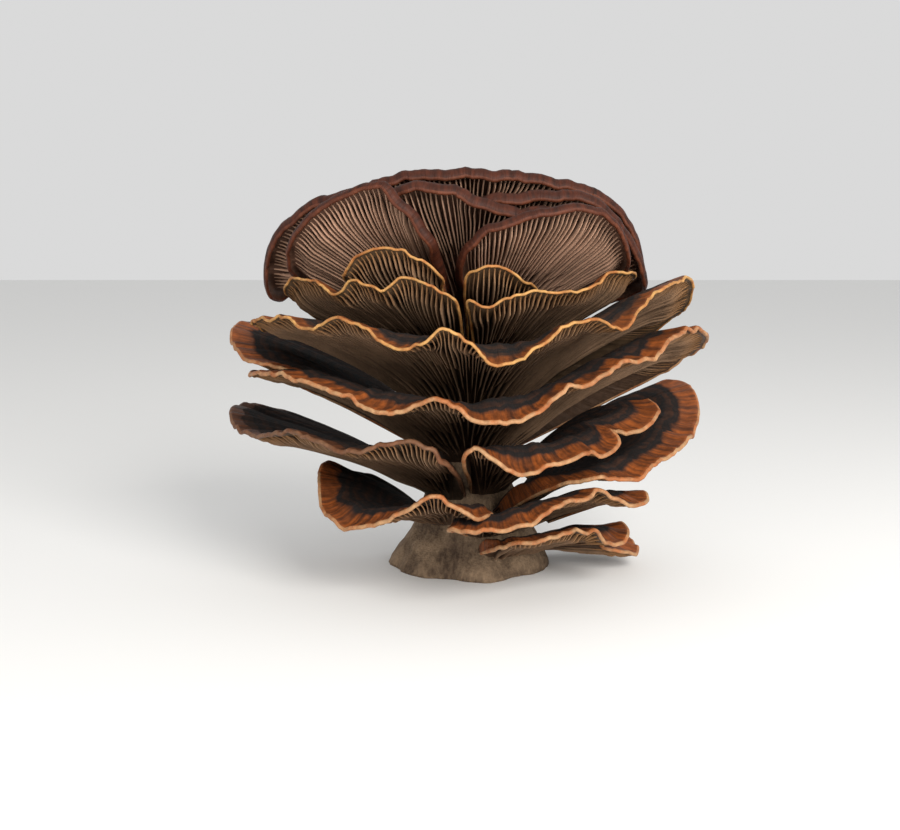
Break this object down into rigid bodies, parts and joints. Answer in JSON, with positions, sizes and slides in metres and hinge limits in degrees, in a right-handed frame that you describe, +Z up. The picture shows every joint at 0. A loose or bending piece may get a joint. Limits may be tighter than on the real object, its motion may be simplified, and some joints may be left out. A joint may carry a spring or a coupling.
{
  "type": "turkey tail mushroom cluster",
  "caption": "Rosette of frilled, gilled bracket caps stacked on one shared holdfast, with a flat cut foot and a flat back.",
  "frame": {"origin": "centre of the holdfast's flat cut foot", "axes": "+Z up, -Y is the front that the caps open towards, +X to the viewer's right, +Y is the flat back"},
  "size_m": [0.241, 0.1419, 0.2022],
  "materials": {
    "crown_cap": "matt red-brown, leathery, with pinkish taupe gills",
    "tier_cap": "velvety, zoned charcoal to rust with a cream margin and grey-brown gills",
    "holdfast": "matt, corky, cream-brown"
  },
  "bodies": {
    "root": {"holdfast": "holdfast", "crown_back": "crown_cap", "crown_right": "crown_cap", "crown_middle": "crown_cap", "ear_left": "crown_cap", "ear_right": "crown_cap", "lobe_left": "tier_cap", "lobe_right": "tier_cap", "tier_1_left": "tier_cap", "tier_1_right": "tier_cap", "tier_2": "tier_cap", "side_lobe_left": "tier_cap", "tier_3": "tier_cap", "tier_4_left": "tier_cap", "tier_4_right": "tier_cap", "tier_5_right": "tier_cap", "tier_5_front": "tier_cap", "tier_6_left": "tier_cap", "tier_6_right": "tier_cap", "foot_lobe": "tier_cap"}
  },
  "joints": []
}
